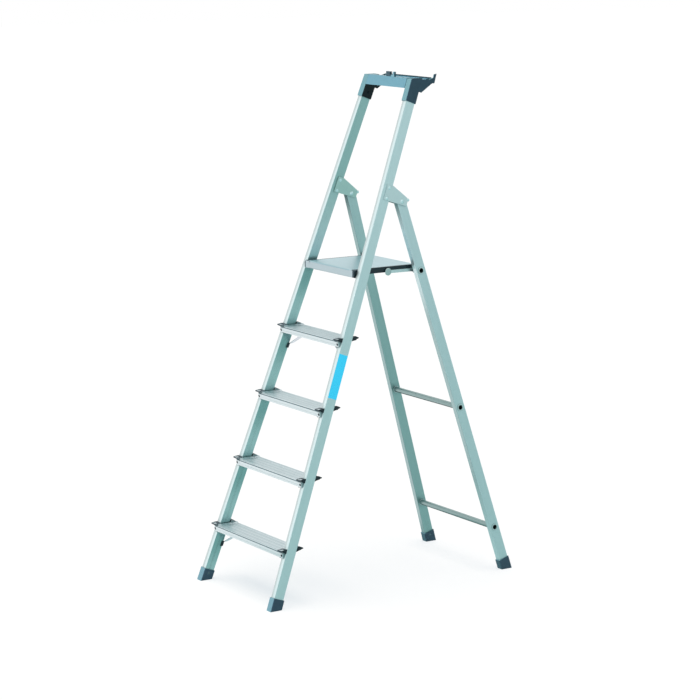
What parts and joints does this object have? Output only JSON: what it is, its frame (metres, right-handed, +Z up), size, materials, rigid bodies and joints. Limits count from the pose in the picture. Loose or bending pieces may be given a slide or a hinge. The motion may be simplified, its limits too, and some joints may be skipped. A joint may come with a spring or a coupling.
{
  "type": "step ladder",
  "caption": "Folding aluminium step ladder with flat treads, a folding standing platform, a rear support frame with rungs and a moulded tool tray on top.",
  "frame": {"origin": "on the floor, midway between the four shoes", "axes": "+Z up, the climber stands at -Y and faces +Y, +X is the climber's right"},
  "size_m": [0.505, 1.0386, 1.8085],
  "materials": {
    "stile_aluminium": "natural anodised extrusion, satin",
    "tread_aluminium": "natural anodised extrusion with raised ribs, satin",
    "platform_aluminium": "natural anodised extrusion, satin",
    "rung_aluminium": "drawn tube, satin",
    "plate_aluminium": "pressed sheet, satin",
    "rivet_aluminium": "rivet, satin",
    "pin_steel": "zinc-plated steel",
    "dark_plastic": "moulded, fine texture",
    "shoe_plastic": "moulded, fine texture",
    "tray_plastic": "moulded, fine texture",
    "screw_cap_plastic": "moulded",
    "knob_plastic": "moulded, pale grey",
    "label_vinyl": "bare printed film, sky blue"
  },
  "bodies": {
    "front_frame": {"blank_label": "label_vinyl", "brace_feet": "dark_plastic", "front_shoe_left": "shoe_plastic", "front_shoe_right": "shoe_plastic", "front_shoe_rivets": "rivet_aluminium", "front_stile_left": "stile_aluminium", "front_stile_right": "stile_aluminium", "hinge_pin_left": "pin_steel", "hinge_pin_right": "pin_steel", "hinge_plate_inner_left": "plate_aluminium", "hinge_plate_inner_right": "plate_aluminium", "hinge_plate_outer_left": "plate_aluminium", "hinge_plate_outer_right": "plate_aluminium", "hinge_plate_rivets": "rivet_aluminium", "platform_pins": "pin_steel", "stop_pins": "pin_steel", "tray_bracket_left": "tray_plastic", "tray_bracket_right": "tray_plastic", "tray_clip": "tray_plastic", "tray_rivets": "rivet_aluminium", "tray_shelf": "tray_plastic", "tread_1": "tread_aluminium", "tread_2": "tread_aluminium", "tread_3": "tread_aluminium", "tread_4": "tread_aluminium", "tread_brace_1_left": "plate_aluminium", "tread_brace_1_right": "plate_aluminium", "tread_brace_4_left": "plate_aluminium", "tread_brace_4_right": "plate_aluminium", "tread_cap_1_left": "dark_plastic", "tread_cap_1_right": "dark_plastic", "tread_cap_2_left": "dark_plastic", "tread_cap_2_right": "dark_plastic", "tread_cap_3_left": "dark_plastic", "tread_cap_3_right": "dark_plastic", "tread_cap_4_left": "dark_plastic", "tread_cap_4_right": "dark_plastic", "tread_screws": "screw_cap_plastic"},
    "rear_frame": {"crossbar": "rung_aluminium", "hinge_bushes": "dark_plastic", "link_collars": "dark_plastic", "lower_rung": "rung_aluminium", "middle_rung": "rung_aluminium", "rear_shoe_left": "shoe_plastic", "rear_shoe_right": "shoe_plastic", "rear_shoe_rivets": "rivet_aluminium", "rear_stile_left": "stile_aluminium", "rear_stile_right": "stile_aluminium", "stile_plugs": "dark_plastic"},
    "platform": {"platform_deck": "platform_aluminium", "platform_side_cap_left": "dark_plastic", "platform_side_cap_right": "dark_plastic"},
    "link_right": {"link_bar_right": "plate_aluminium", "link_knob_right": "knob_plastic"},
    "link_left": {"link_bar_left": "plate_aluminium", "link_knob_left": "knob_plastic"}
  },
  "joints": [
    {"name": "rear_fold", "type": "hinge", "parent": "front_frame", "child": "rear_frame", "pos_m": [0, 0.0776, 1.36656], "axis": [-1, 0, 0], "range_deg": [0, 37]},
    {"name": "platform_fold", "type": "hinge", "parent": "front_frame", "child": "platform", "pos_m": [0, -0.08818, 1.11764], "axis": [1, 0, 0], "range_deg": [0, 70]},
    {"name": "link_fold_right", "type": "hinge", "parent": "rear_frame", "child": "link_right", "pos_m": [0, 0.15319, 1.1197], "axis": [-1, 0, 0], "range_deg": [0, 33.66]},
    {"name": "link_fold_left", "type": "hinge", "parent": "rear_frame", "child": "link_left", "pos_m": [0, 0.15319, 1.1197], "axis": [-1, 0, 0], "range_deg": [0, 33.66]}
  ],
  "couplings": [
    {"joint": "platform_fold", "follows": "rear_fold", "ratio": 1.8918},
    {"joint": "link_fold_right", "follows": "rear_fold", "ratio": 0.9095},
    {"joint": "link_fold_left", "follows": "rear_fold", "ratio": 0.9095}
  ]
}
